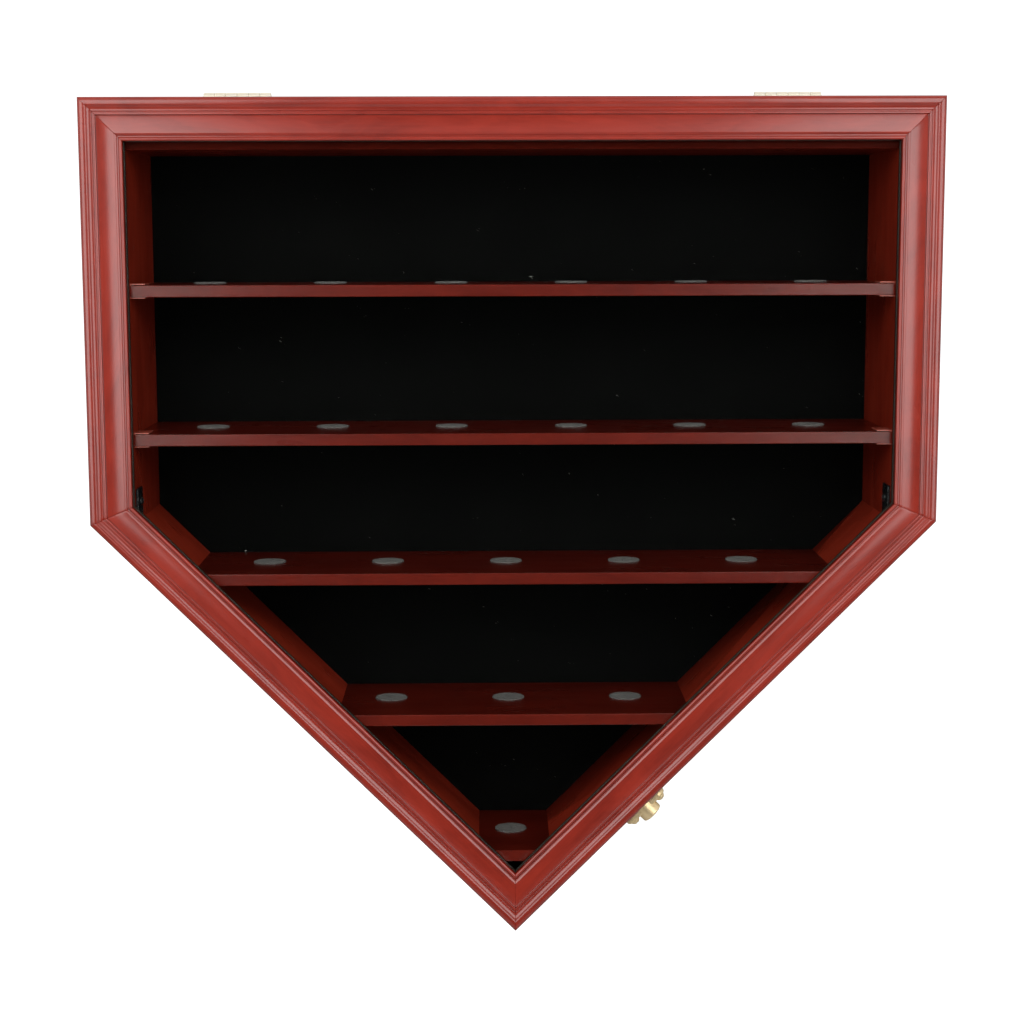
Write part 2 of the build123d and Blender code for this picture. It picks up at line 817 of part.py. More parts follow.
brace_fixings = brace_screws(-1) + brace_screws(1)
brace_sizes = (brace_shank, brace_head, brace_head_height, brace_screw_length)
group([pan_screw(p, d, *brace_sizes) for p, d in brace_fixings], "brace_screws")
lock_sizes = (lock_shank, lock_head, lock_head_height, lock_height + lock_screw_depth)
group([pan_screw(p, d, *lock_sizes) for p, d in lock_screws()], "lock_screws")
flat_groups = {
    "hinge_box_screws": (hinge_screws(1), hinge_screw_length),
    "hinge_door_screws": (hinge_screws(-1), hinge_screw_length),
    "strike_screws": (strike_screws(), hinge_screw_length),
    "back_panel_screws": (all_back_screws(), back_screw_length),
    "hanger_screws": (hanger_screws(), hanger_screw_length),
}
for name, (places, length) in flat_groups.items():
    group([flat_screw(p, d, small_shank, small_head, length) for p, d in places], name)
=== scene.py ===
import json
import math

import bpy
import numpy as np
from mathutils import Matrix, Vector


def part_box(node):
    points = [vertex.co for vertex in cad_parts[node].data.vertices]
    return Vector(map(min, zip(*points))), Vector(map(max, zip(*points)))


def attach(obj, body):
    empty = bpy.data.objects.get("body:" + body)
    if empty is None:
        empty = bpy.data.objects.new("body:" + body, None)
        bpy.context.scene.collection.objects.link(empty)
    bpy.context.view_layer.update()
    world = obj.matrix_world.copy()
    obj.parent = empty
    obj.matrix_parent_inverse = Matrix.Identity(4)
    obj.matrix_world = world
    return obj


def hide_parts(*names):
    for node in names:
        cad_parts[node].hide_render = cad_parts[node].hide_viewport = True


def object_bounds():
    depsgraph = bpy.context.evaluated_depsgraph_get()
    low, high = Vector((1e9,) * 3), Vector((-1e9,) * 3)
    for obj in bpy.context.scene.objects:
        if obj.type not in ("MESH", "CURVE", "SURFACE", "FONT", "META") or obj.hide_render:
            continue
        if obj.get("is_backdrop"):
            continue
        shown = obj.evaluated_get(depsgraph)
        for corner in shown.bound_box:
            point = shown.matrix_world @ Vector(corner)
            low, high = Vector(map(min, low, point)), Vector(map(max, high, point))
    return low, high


# Display case in the outline of a home plate, dressed over its CAD frame.
# Metres. X to the right, Z up, the room side is -Y, the wall is the plane Y = 0.

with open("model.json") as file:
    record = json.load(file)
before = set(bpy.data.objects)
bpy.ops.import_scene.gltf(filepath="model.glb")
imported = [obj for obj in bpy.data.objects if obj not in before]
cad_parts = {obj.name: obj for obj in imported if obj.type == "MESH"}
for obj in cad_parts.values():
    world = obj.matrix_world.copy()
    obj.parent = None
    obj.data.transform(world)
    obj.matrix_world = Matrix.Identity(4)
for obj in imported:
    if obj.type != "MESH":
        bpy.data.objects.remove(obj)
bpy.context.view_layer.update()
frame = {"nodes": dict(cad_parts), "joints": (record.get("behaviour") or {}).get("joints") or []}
nodes = frame["nodes"]
root2 = math.sqrt(2)

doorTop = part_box("door_top")[1].z
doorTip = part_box("door_lower_right")[0].z
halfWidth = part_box("door_top")[1].x
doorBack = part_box("door_top")[1].y
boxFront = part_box("box_top")[0].y
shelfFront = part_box("shelf_3")[0].y
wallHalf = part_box("shelf_clip_1_right")[1].x  # inside face of the upright boards
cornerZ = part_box("shelf_3")[1].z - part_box("shelf_3")[1].x + wallHalf  # where they meet the slanted boards
sideNames = ["top", "right", "lower_right", "lower_left", "left"]
grainTurns = {"top": 0, "right": 90, "lower_right": -45, "lower_left": 45, "left": 90}
print("Frame loaded with", len(nodes), "nodes")


# Mesh helpers. Each works on whole arrays.

def plateCorners(inset):
    # Home plate outline moved in by one distance: five corners (x, z), clockwise from the top left.
    x = halfWidth - inset
    low = doorTip + inset * root2
    return np.array([(-x, doorTop - inset), (x, doorTop - inset), (x, low + x), (0, low), (-x, low + x)])


def gridFaces(rows, columns, start=0):
    # Quads between neighbouring rows of a grid whose columns close on themselves.
    r, c = np.meshgrid(np.arange(rows - 1), np.arange(columns), indexing="ij")
    after = (c + 1) % columns
    below = r + 1
    quads = np.stack([r * columns + c, r * columns + after, below * columns + after, below * columns + c], -1)
    return (quads.reshape(-1, 4) + start).tolist()


def tube(grid):
    # Closed skin from a (rows, columns, 3) grid: quads round it and one flat cap at each end.
    rows, columns = grid.shape[:2]
    faces = gridFaces(rows, columns)
    last = (rows - 1) * columns
    faces.append(list(range(columns))[::-1])
    faces.append(list(range(last, last + columns)))
    return grid.reshape(-1, 3), faces


def facedOut(points, faces):
    # Signed volume by fans of triangles: negative means the skin is inside out, so its faces are reversed.
    fans = np.array([(f[0], f[i], f[i + 1]) for f in faces for i in range(1, len(f) - 1)])
    a, b, c = points[fans[:, 0]], points[fans[:, 1]], points[fans[:, 2]]
    volume = np.einsum("ij,ij->i", a, np.cross(b, c)).sum()
    return faces if volume > 0 else [f[::-1] for f in faces]


def makePiece(name, skins, material, body, stands):
    # One object from several closed skins. It rides on a body and stands for CAD nodes.
    points, faces = [], []
    for skinPoints, skinFaces in skins:
        start = sum(len(p) for p in points)
        faces += [[i + start for i in f] for f in facedOut(skinPoints, skinFaces)]
        points.append(skinPoints)
    mesh = bpy.data.meshes.new(name)
    mesh.from_pydata(np.concatenate(points).tolist(), [], faces)
    mesh.polygons.foreach_set("use_smooth", np.ones(len(faces), bool))
    mesh.materials.append(material)
    mesh.update()
    piece = bpy.data.objects.new(name, mesh)
    bpy.context.scene.collection.objects.link(piece)
    weighted = piece.modifiers.new("Even shading", "WEIGHTED_NORMAL")
    weighted.keep_sharp = True
    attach(piece, body)
    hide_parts(*stands)
    return piece


def arcThrough(start, middle, end, count):
    # Circle through three points: the centre is where the perpendicular bisectors meet.
    a, b, c = (np.array(p, float) for p in (start, middle, end))
    left = 2 * np.array([b - a, c - a])
    centre = np.linalg.solve(left, [b @ b - a @ a, c @ c - a @ a])
    turn = [math.atan2(*(p - centre)[::-1]) for p in (a, b, c)]
    way = 1 if np.cross(b - a, c - b) > 0 else -1
    sweep = (way * (turn[2] - turn[0])) % (2 * math.pi)
    angles = turn[0] + way * np.linspace(0, sweep, count)
    return centre + np.linalg.norm(a - centre) * np.stack([np.cos(angles), np.sin(angles)], -1)


def softCorners(outline, radius, least=25, share=0.4):
    # Every corner that turns by more than the least angle, in degrees, becomes a quadratic curve of four
    # points. It starts and ends one radius from the corner, or at a share of the shorter edge.
    before, after = np.roll(outline, 1, 0), np.roll(outline, -1, 0)
    back, ahead = before - outline, after - outline
    backLength = np.linalg.norm(back, axis=1, keepdims=True)
    aheadLength = np.linalg.norm(ahead, axis=1, keepdims=True)
    back, ahead = back / backLength, ahead / aheadLength
    turn = np.degrees(np.arccos(np.clip(-(back * ahead).sum(1), -1, 1)))
    reach = np.minimum(radius, share * np.minimum(backLength, aheadLength))
    steps = np.array([0.0, 0.33, 0.67, 1.0])[None, :, None]
    first = (outline + back * reach)[:, None]
    last = (outline + ahead * reach)[:, None]
    curve = (1 - steps) ** 2 * first + 2 * steps * (1 - steps) * outline[:, None] + steps ** 2 * last
    kept = [curve[i] if turn[i] > least else outline[i:i + 1] for i in range(len(outline))]
    return np.concatenate(kept)


def unitRows(rows, tiny=1e-12):
    # Each row divided by its own length.
    return rows / np.maximum(np.linalg.norm(rows, axis=1, keepdims=True), tiny)


def insetOutline(outline, distance):
    # Each point moves inwards along the mean normal of the two edges that meet there.
    edge = unitRows(np.roll(outline, -1, 0) - outline)
    normal = np.stack([edge[:, 1], -edge[:, 0]], -1)
    normal = unitRows(normal + np.roll(normal, 1, 0))
    x, z = outline.T
    area = (x * np.roll(z, -1) - np.roll(x, -1) * z).sum()
    return outline - normal * distance * (1 if area > 0 else -1)


def prism(outline, near, far, rounding, early=0.3):
    # Outline (x, z) carried along Y from near to far, drawn in over three rings at both ends.
    step = early * rounding
    ends = [(near, rounding), (near + step, step), (near + rounding, 0)]
    ends += [(far - rounding, 0), (far - step, step), (far, rounding)]
    rings = []
    for y, drawn in ends:
        ring = insetOutline(outline, drawn)
        rings.append(np.stack([ring[:, 0], np.full(len(ring), y), ring[:, 1]], -1))
    return tube(np.array(rings))


def sideAxes(direction):
    # Two unit vectors square to a direction and to each other.
    way = np.array(direction, float)
    way = way / np.linalg.norm(way)
    other = np.array([0, 0, 1.0]) if abs(way[2]) < 0.7 else np.array([0, 1.0, 0])
    u = np.cross(other, way)
    u = u / np.linalg.norm(u)
    return way, u, np.cross(way, u)


def turned(profile, place, direction, segments):
    # Profile (radius, height) turned round an axis: place + r (cos a u + sin a v) + h way.
    way, u, v = sideAxes(direction)
    angle = np.linspace(0, 2 * math.pi, segments, endpoint=False)
    r, h = np.array(profile, float).T
    ring = np.cos(angle)[:, None] * u + np.sin(angle)[:, None] * v
    return tube(np.array(place, float) + r[:, None, None] * ring + h[:, None, None] * way)


screwTop = {"rings": 26, "segments": 56, "fall": 0.55, "lateFall": 0.25, "arm": 0.52, "slot": 0.15,
            "lip": 1.15, "slope": 0.35, "spin": 0.7}


def screwSkin(place, direction, size, number):
    # Screw with a cross recess, each turned a little further than the last. Top height = dome or flat, less a
    # tapered cross whose arms fall off at their rims.
    way, u, v = sideAxes(direction)
    head, shank, length = size["head"] / 2, size["shank"] / 2, size["length"]
    rise = size.get("rise", 0)
    share = np.linspace(0.01, 1, screwTop["rings"])
    angle = np.linspace(0, 2 * math.pi, screwTop["segments"], endpoint=False)
    level = np.ones(screwTop["segments"])
    r = share[:, None] * head * level
    dome = rise * (1 - screwTop["fall"] * share ** 2 - screwTop["lateFall"] * share ** 6)[:, None] * level
    a, b = np.abs(r * np.cos(angle)), np.abs(r * np.sin(angle))
    arm, wide = screwTop["arm"] * head, screwTop["slot"] * head
    cross = np.minimum(np.maximum(a / arm, b / wide), np.maximum(b / arm, a / wide))
    recess = size["recess"] * np.clip((screwTop["lip"] - cross) / screwTop["slope"], 0, 1)
    if rise:
        lower = [(head, 0.06 * rise), (0.97 * head, 0), (shank, 0), (shank, -length)]
        lower += [(0.4 * shank, -length - shank)]
    else:
        sink = head - shank
        lower = [(head, -0.06 * sink), (shank, -sink), (shank, shank - length), (0.3 * shank, -length)]
    lowR, lowH = np.array(lower).T
    radius = np.concatenate([r, lowR[:, None] * level])
    height = np.concatenate([dome - recess, lowH[:, None] * level])
    spin = angle + screwTop["spin"] * number
    ring = np.cos(spin)[:, None] * u + np.sin(spin)[:, None] * v
    return tube(np.array(place) + radius[..., None] * ring - height[..., None] * way)


# Materials. Each is a node tree on Object coordinates.

def newMaterial(name):
    # Material with its tree, its shader and the Object coordinates.
    material = bpy.data.materials.new(name)
    material.use_nodes = True
    tree = material.node_tree
    shader = tree.nodes["Principled BSDF"]
    coords = tree.nodes.new("ShaderNodeTexCoord").outputs["Object"]
    return material, tree, shader, coords


def mapped(tree, coords, turn=0, stretch=(1, 1, 1), move=(0, 0, 0)):
    # Coordinates moved, turned about Y and then shrunk along each axis.
    node = tree.nodes.new("ShaderNodeMapping")
    node.vector_type = "TEXTURE"
    node.inputs["Location"].default_value = move
    node.inputs["Rotation"].default_value = (0, math.radians(turn), 0)
    node.inputs["Scale"].default_value = stretch
    tree.links.new(coords, node.inputs["Vector"])
    return node.outputs["Vector"]


def noise(tree, coords, scale, detail=3, roughness=0.5, distortion=0):
    # Grey noise, mostly between 0.3 and 0.7.
    node = tree.nodes.new("ShaderNodeTexNoise")
    node.inputs["Scale"].default_value = scale
    node.inputs["Detail"].default_value = detail
    node.inputs["Roughness"].default_value = roughness
    node.inputs["Distortion"].default_value = distortion
    tree.links.new(coords, node.inputs["Vector"])
    return node.outputs["Fac"]


def ranged(tree, value, span, target=(0, 1)):
    # The span of the value is stretched over the target, and what lies past it is held at the ends.
    node = tree.nodes.new("ShaderNodeMapRange")
    for socket, number in zip(("From Min", "From Max", "To Min", "To Max"), (*span, *target)):
        node.inputs[socket].default_value = number
    tree.links.new(value, node.inputs["Value"])
    return node.outputs["Result"]


def blended(tree, factor, first, second, kind="MIX"):
    # Mix of two colours; each is a plain colour or another node's output.
    node = tree.nodes.new("ShaderNodeMix")
    node.data_type = "RGBA"
    node.blend_type = kind
    for index, value in ((0, factor), (6, first), (7, second)):
        if isinstance(value, bpy.types.NodeSocket):
            tree.links.new(value, node.inputs[index])
        elif index == 0:
            node.inputs[0].default_value = value
        else:
            node.inputs[index].default_value = (*value, 1)
    return node.outputs[2]


def combined(tree, operation, first, second):
    # Two values put through one operation; each is a number or another node's output.
    node = tree.nodes.new("ShaderNodeMath")
    node.operation = operation
    for index, value in enumerate((first, second)):
        if isinstance(value, bpy.types.NodeSocket):
            tree.links.new(value, node.inputs[index])
        else:
            node.inputs[index].default_value = value
    return node.outputs[0]


def bumped(tree, shader, height, strength, distance):
    # Relief in the shading alone, from a height between 0 and 1 and a depth in metres.
    node = tree.nodes.new("ShaderNodeBump")
    node.inputs["Strength"].default_value = strength
    node.inputs["Distance"].default_value = distance
    tree.links.new(height, node.inputs["Height"])
    tree.links.new(node.outputs["Normal"], shader.inputs["Normal"])


lacquer = {
    "deep": (0.155, 0.0100, 0.0042),  # colours are linear
    "red": (0.238, 0.0170, 0.0073),
    "light": (0.31, 0.028, 0.013),
    "pore": (0.06, 0.005, 0.0025),
    # Glaze colour, which also paints the shade in the grooves of the moulding.
    "glazeShade": (0.10, 0.006, 0.003),
    "roughness": 0.3,
    "gloss": 0.1,
    "coatRoughness": 0.2,
    "coatBend": 1.7,
    "edgeDepth": 0.0004,
    # Specular tint of the front band that is painted shade: it takes away most of its reflection.
    "shadeSpecularTint": (0.1, 0.1, 0.1),
}


def lacqueredWood(name, turn, move, tone=(1, 1, 1), coat=0.9, front=None, frontTone=(1, 1, 1), shadeFront=False):
    # Red lacquer over mahogany: cloudy figure, long streaks and short pores, all drawn out along the grain.
    # Dark glaze, which also paints the shade in the grooves, lies where the hollows attribute is high, broken
    # up by the streaks. The front edge, near one depth, has a tone of its own: on the box boards a painted
    # shade, dark and with neither coat nor gloss.
    material, tree, shader, coords = newMaterial(name)
    clouds = mapped(tree, coords, turn, (2.8, 1, 1), move)
    cloud = noise(tree, clouds, scale=34, detail=6, roughness=0.68, distortion=1.1)
    streaks = mapped(tree, coords, turn, (26, 1, 1), move)
    streak = noise(tree, streaks, scale=620, detail=3, roughness=0.6, distortion=0.4)
    pore = noise(tree, mapped(tree, coords, turn, (17, 1, 1), move), scale=1500, detail=2, roughness=0.5)
    colour = blended(tree, ranged(tree, cloud, (0.3, 0.6)), lacquer["deep"], lacquer["red"])
    colour = blended(tree, ranged(tree, streak, (0.45, 0.8), (0, 0.3)), colour, lacquer["light"])
    colour = blended(tree, ranged(tree, pore, (0.64, 0.74), (0, 0.25)), colour, lacquer["pore"])
    # Painted shade: the hollows attribute lays on the glaze and the shade of the grooves.
    hollowShade = tree.nodes.new("ShaderNodeAttribute")
    hollowShade.attribute_name = "hollowShade"
    glazeShadeStrength = ranged(tree, streak, (0.3, 0.7), (0.72, 0.6))
    glazeShadeShare = combined(tree, "MULTIPLY", hollowShade.outputs["Fac"], glazeShadeStrength)
    colour = blended(tree, glazeShadeShare, colour, lacquer["glazeShade"])
    shader.inputs["Coat Weight"].default_value = coat
    if front is None:
        colour = blended(tree, 1.0, colour, tone, "MULTIPLY")
    else:
        # Front band, one depth deep, in the front tone; on the box boards it is painted shade.
        place = tree.nodes.new("ShaderNodeSeparateXYZ")
        tree.links.new(coords, place.inputs[0])
        edge = ranged(tree, place.outputs["Y"], (front, front + lacquer["edgeDepth"]), (1, 0))
        colour = blended(tree, 1.0, colour, blended(tree, edge, tone, frontTone), "MULTIPLY")
        # Painted shade: the band also loses its coat and most of its reflection.
        if shadeFront:
            tree.links.new(blended(tree, edge, (1, 1, 1), lacquer["shadeSpecularTint"]), shader.inputs["Specular Tint"])
            inside = combined(tree, "SUBTRACT", 1.0, edge)
            tree.links.new(combined(tree, "MULTIPLY", inside, coat), shader.inputs["Coat Weight"])
    tree.links.new(colour, shader.inputs["Base Color"])
    smear = noise(tree, mapped(tree, coords, turn, (5, 1, 1), move), scale=60, detail=3)
    rough = ranged(tree, smear, (0.3, 0.7), (lacquer["roughness"] - 0.04, lacquer["roughness"] + 0.05))
    tree.links.new(rough, shader.inputs["Roughness"])
    shader.inputs["Coat Roughness"].default_value = lacquer["coatRoughness"]
    shader.inputs["Coat IOR"].default_value = lacquer["coatBend"]
    shader.inputs["Specular IOR Level"].default_value = lacquer["gloss"]
    grain = combined(tree, "SUBTRACT", streak, ranged(tree, pore, (0.6, 0.74)))
    bumped(tree, shader, grain, strength=0.04, distance=0.0002)
    return material


def feltCloth(name, colour, fleck, lint, sheen, worn=0.72):
    # Pressed felt: patches of worn colour, a fine tangled nap with flecks, a soft sheen and, where a
    # stretched noise passes the lint level, a few bright threads.
    material, tree, shader, coords = newMaterial(name)
    nap = noise(tree, coords, scale=2600, detail=3, roughness=0.7, distortion=0.6)
    patch = noise(tree, coords, scale=14, detail=3, roughness=0.6)
    base = blended(tree, ranged(tree, patch, (0.35, 0.7)), [c * worn for c in colour], colour)
    base = blended(tree, ranged(tree, nap, (0.5, 0.72), (0, 0.7)), base, fleck)
    stretched = mapped(tree, coords, turn=24, stretch=(3, 1, 1))
    threads = noise(tree, stretched, scale=520, detail=1, roughness=0.4, distortion=1.5)
    base = blended(tree, ranged(tree, threads, (lint, lint + 0.02), (0, 0.5)), base, (0.5, 0.48, 0.44))
    tree.links.new(base, shader.inputs["Base Color"])
    shader.inputs["Roughness"].default_value = 0.95
    shader.inputs["Specular IOR Level"].default_value = 0.04
    shader.inputs["Sheen Weight"].default_value = sheen
    shader.inputs["Sheen Roughness"].default_value = 0.6
    bumped(tree, shader, nap, strength=0.5, distance=0.0004)
    return material


def turnedMetal(name, colour, dark, roughness, scratch=0.04, metallic=1.0):
    # Metal with cloudy tarnish, fine scratches one way and a roughness that follows both.
    material, tree, shader, coords = newMaterial(name)
    cloud = noise(tree, coords, scale=160, detail=4, roughness=0.6, distortion=0.5)
    fine = noise(tree, mapped(tree, coords, turn=35, stretch=(40, 1, 1)), scale=5200, detail=2)
    colours = blended(tree, ranged(tree, cloud, (0.3, 0.72)), dark, colour)
    tree.links.new(colours, shader.inputs["Base Color"])
    shader.inputs["Metallic"].default_value = metallic
    tarnished = ranged(tree, cloud, (0.3, 0.7), (roughness + 0.08, roughness))
    scratched = ranged(tree, fine, (0.4, 0.7), (0, scratch))
    tree.links.new(combined(tree, "ADD", tarnished, scratched), shader.inputs["Roughness"])
    bumped(tree, shader, fine, strength=0.08, distance=0.0001)
    return material


def blackPaint(name):
    # Glossy black enamel on steel: orange-peel bump and grey rubbing where a noise peaks.
    material, tree, shader, coords = newMaterial(name)
    peel = noise(tree, coords, scale=900, detail=2, roughness=0.5)
    rub = noise(tree, coords, scale=330, detail=4, roughness=0.7, distortion=0.8)
    worn = ranged(tree, rub, (0.62, 0.72), (0, 0.5))
    colour = blended(tree, worn, (0.008, 0.008, 0.009), (0.12, 0.115, 0.11))
    tree.links.new(colour, shader.inputs["Base Color"])
    tree.links.new(ranged(tree, rub, (0.4, 0.7), (0.16, 0.4)), shader.inputs["Roughness"])
    bumped(tree, shader, peel, strength=0.12, distance=0.0002)
    return material


def clearSheet(name):
    # Clear non-glare acrylic: straight through with a faint green tint, and a mirror share that is the fifth
    # power of the facing weight. From the front it reflects nothing.
    material, tree, shader, coords = newMaterial(name)
    tree.nodes.remove(shader)
    through = tree.nodes.new("ShaderNodeBsdfTransparent")
    through.inputs["Color"].default_value = (0.965, 0.985, 0.975, 1)
    mirror = tree.nodes.new("ShaderNodeBsdfGlossy")
    smudge = noise(tree, coords, scale=9, detail=4, roughness=0.6, distortion=0.6)
    tree.links.new(ranged(tree, smudge, (0.4, 0.7), (0.02, 0.05)), mirror.inputs["Roughness"])
    facing = tree.nodes.new("ShaderNodeLayerWeight").outputs["Facing"]
    share = combined(tree, "POWER", facing, 5.0)
    both = tree.nodes.new("ShaderNodeMixShader")
    tree.links.new(share, both.inputs[0])
    tree.links.new(through.outputs[0], both.inputs[1])
    tree.links.new(mirror.outputs[0], both.inputs[2])
    tree.links.new(both.outputs[0], tree.nodes["Material Output"].inputs["Surface"])
    return material


def softPlastic(name):
    # Extruded strip, olive and nearly black: a cloudy tint, a fine pebbled bump and a dull sheen.
    material, tree, shader, coords = newMaterial(name)
    patch = noise(tree, coords, scale=60, detail=3, roughness=0.6)
    pebble = noise(tree, coords, scale=2600, detail=2, roughness=0.5)
    tint = blended(tree, ranged(tree, patch, (0.3, 0.7)), (0.013, 0.010, 0.007), (0.021, 0.017, 0.012))
    tree.links.new(tint, shader.inputs["Base Color"])
    tree.links.new(ranged(tree, patch, (0.3, 0.7), (0.42, 0.55)), shader.inputs["Roughness"])
    bumped(tree, shader, pebble, strength=0.15, distance=0.0002)
    return material


def pressedBoard(name):
    # Brown hardboard: a patchy brown, matted pale fibres and a bump that follows them.
    material, tree, shader, coords = newMaterial(name)
    matted = mapped(tree, coords, turn=12, stretch=(2.5, 1, 1))
    fibre = noise(tree, matted, scale=900, detail=4, roughness=0.7, distortion=1.2)
    patch = noise(tree, coords, scale=20, detail=4, roughness=0.6)
    colour = blended(tree, ranged(tree, patch, (0.3, 0.7)), (0.16, 0.085, 0.045), (0.25, 0.145, 0.08))
    colour = blended(tree, ranged(tree, fibre, (0.5, 0.75), (0, 0.5)), colour, (0.36, 0.23, 0.14))
    tree.links.new(colour, shader.inputs["Base Color"])
    tree.links.new(ranged(tree, fibre, (0.3, 0.7), (0.7, 0.88)), shader.inputs["Roughness"])
    bumped(tree, shader, fibre, strength=0.3, distance=0.0003)
    return material


# Box board tones: the slanted boards are lighter and the upright ones darker, for how light falls on them
# (painted light), and the edge tone is painted shade on the front band behind the door.
boxShadeTones = {"uprightShaded": (0.9, 1.0, 1.0), "slanted": (1.1, 1.3, 1.3), "edge": (0.2, 0.2, 0.2)}
# Shelf tones: the board tone darkens the tops and undersides against the front edge, a painted shade.
shelfTones = {"board": (0.32, 0.32, 0.32), "edge": (0.46, 0.4, 0.36)}
# The clips are made paler and pinker all over, a painted highlight standing in for their lit front edges.
clipHighlightTone = (1.7, 5.0, 8.0)

sashWood, boxWood = {}, {}
for i, side in enumerate(sideNames):
    sashWood[side] = lacqueredWood("sash_wood_" + side, grainTurns[side], move=(0.3 * i, 0.17 * i, 0.4 * i))
for i, side in enumerate(sideNames):
    # Painted light: the slanted boards are lighter than the upright ones.
    tone = boxShadeTones["slanted" if "lower" in side else "uprightShaded"]
    # Painted shade: the front band of each box board is dark and has no coat.
    boxWood[side] = lacqueredWood("box_wood_" + side, grainTurns[side], move=(0.9 + 0.2 * i, 0.5, 0.1 * i),
                                  tone=tone, coat=0.15, front=boxFront, frontTone=boxShadeTones["edge"], shadeFront=True)
# Painted shade: the shelves' tops and undersides are darker than their front edges.
shelfWood = lacqueredWood("shelf_wood", turn=0, move=(0.2, 0.31, 0.7), tone=shelfTones["board"], coat=0.4,
                          front=shelfFront, frontTone=shelfTones["edge"])
# Painted highlight: the clips are paler all over.
clipPaint = lacqueredWood("clip_lacquer", turn=90, move=(0.5, 0.9, 0.2), tone=clipHighlightTone)
blackFelt = feltCloth("black_felt", colour=(0.0021, 0.0021, 0.0020), fleck=(0.006, 0.006, 0.0056), lint=0.81,
                      sheen=0.01)
greyFelt = feltCloth("grey_felt", colour=(0.09, 0.078, 0.075), fleck=(0.27, 0.25, 0.245), lint=0.95,
                     sheen=0.06)
brass = turnedMetal("hinge_brass", (0.97, 0.91, 0.78), dark=(0.93, 0.84, 0.66), roughness=0.3, scratch=0.03,
                    metallic=0.7)
goldLock = turnedMetal("lock_gold", (0.96, 0.77, 0.46), dark=(0.88, 0.67, 0.36), roughness=0.34, scratch=0.03,
                       metallic=0.75)
zinc = turnedMetal("bright_zinc", (0.66, 0.66, 0.64), dark=(0.45, 0.45, 0.45), roughness=0.24)
blackEnamel = blackPaint("black_enamel")
clearAcrylic = clearSheet("clear_acrylic")
hardboard = pressedBoard("hardboard")
stripPlastic = softPlastic("strip_plastic")
print("Materials made")


# Moulded sash: one profile carried along five mitred sides.

# The glaze reach and depth set which grooves get the glaze and its painted shade.
sash = {"width": 0.031, "depth": 0.014, "seat": 0.005, "lip": 0.0045, "edge": 0.00022, "mitre": 0.0001,
        "reach": 0.0009, "glazeShade": 0.0008, "mitreRings": (0, 0.0003, 0.002), "middleRings": (0.25, 0.5, 0.75)}


def sashProfile():
    # Section of the moulding from the outer side to the rebate. A point is (share across, share of the way up
    # from the panel's seat to the front).
    def at(across, up):
        return sash["width"] * across, sash["seat"] + (sash["depth"] - sash["seat"]) * up

    rebate = sash["width"] - sash["lip"]
    parts = [
        [(0, 0), (0, 0.003)],  # outer side
        arcThrough(at(0, 0.665), at(0.03, 0.9), at(0.09, 0.985), 14),  # outer bead
        arcThrough(at(0.09, 0.985), at(0.12, 1), at(0.15, 0.99), 5)[1:],
        arcThrough(at(0.15, 0.99), at(0.183, 0.965), at(0.205, 0.91), 8)[1:],
        arcThrough(at(0.222, 0.865), at(0.262, 0.8), at(0.318, 0.775), 10),  # hollow beside the bead
        [at(0.324, 0.73), at(0.336, 0.73), at(0.342, 0.79), at(0.366, 0.79)],  # groove and step
        [at(0.372, 0.845), at(0.405, 0.845)],  # ridge
        arcThrough(at(0.413, 0.69), at(0.6, 0.6), at(0.825, 0.6), 26),  # cove
        [at(0.87, 0.53), at(0.878, 0.48), at(0.91, 0.48)],  # quirk
        arcThrough(at(0.91, 0.48), at(0.955, 0.66), at(1, 0.45), 18)[1:],  # inner bead
        [(sash["width"], sash["seat"]), (rebate, sash["seat"]), (rebate, 0)],  # rebate for the panel
    ]
    return softCorners(np.concatenate([np.array(p, float).reshape(-1, 2) for p in parts]), sash["edge"])


def sashHollowShade(profile, samples=400):
    # Depth below the mean front within a reach to both sides, as a share of the glaze depth: 1 in the quirks.
    # It sets the glaze and the painted shade in the grooves.
    across, up = profile.T
    front = up > sash["seat"]
    order = np.linspace(0, sash["width"], samples)
    heights = np.interp(order, across[front], up[front])
    mean = np.array([heights[np.abs(order - a) < sash["reach"]].mean() for a in across])
    return np.where(front, np.clip((mean - up) / sash["glazeShade"], 0, 1), 0)


def sashSide(number):
    # Point = start mitre + (end mitre - start mitre) t, both lines being straight in the distance across.
    profile = sashProfile()
    along = plateCorners(0)
    step = 0.01  # any inset will do, because the corners move in along straight lines
    inwards = (plateCorners(step) - along) / step
    after = (number + 1) % len(sideNames)
    length = np.linalg.norm(along[after] - along[number])
    ends = np.array(sash["mitreRings"])
    stops = np.concatenate([ends, length * np.array(sash["middleRings"]), length - ends[::-1]])
    rings = []
    for place, stop in enumerate(stops):
        section = insetOutline(profile, sash["mitre"]) if place in (0, len(stops) - 1) else profile
        start = along[number] + section[:, :1] * inwards[number]
        end = along[after] + section[:, :1] * inwards[after]
        line = start + (end - start) * (stop / length)
        rings.append(np.stack([line[:, 0], doorBack - section[:, 1], line[:, 1]], -1))
    return tube(np.array(rings))


# Painted shade: each point's depth below its neighbours darkens the lacquer in the grooves, together with the
# glaze.
hollowShade = np.tile(sashHollowShade(sashProfile()), 2 * len(sash["mitreRings"]) + len(sash["middleRings"]))
for number, side in enumerate(sideNames):
    piece = makePiece("sash_" + side, [sashSide(number)], sashWood[side], "door", ["door_" + side])
    piece.data.attributes.new("hollowShade", "FLOAT", "POINT").data.foreach_set("value", hollowShade)
print("Sash made")


# Felt lining: home plate sheet whose front face has a slow ripple.

lining = {"columns": 120, "rows": 118, "ripple": 0.00008, "waveX": 31, "waveZ": 27, "shift": 2, "tip": 0.0005,
          "fade": 8}


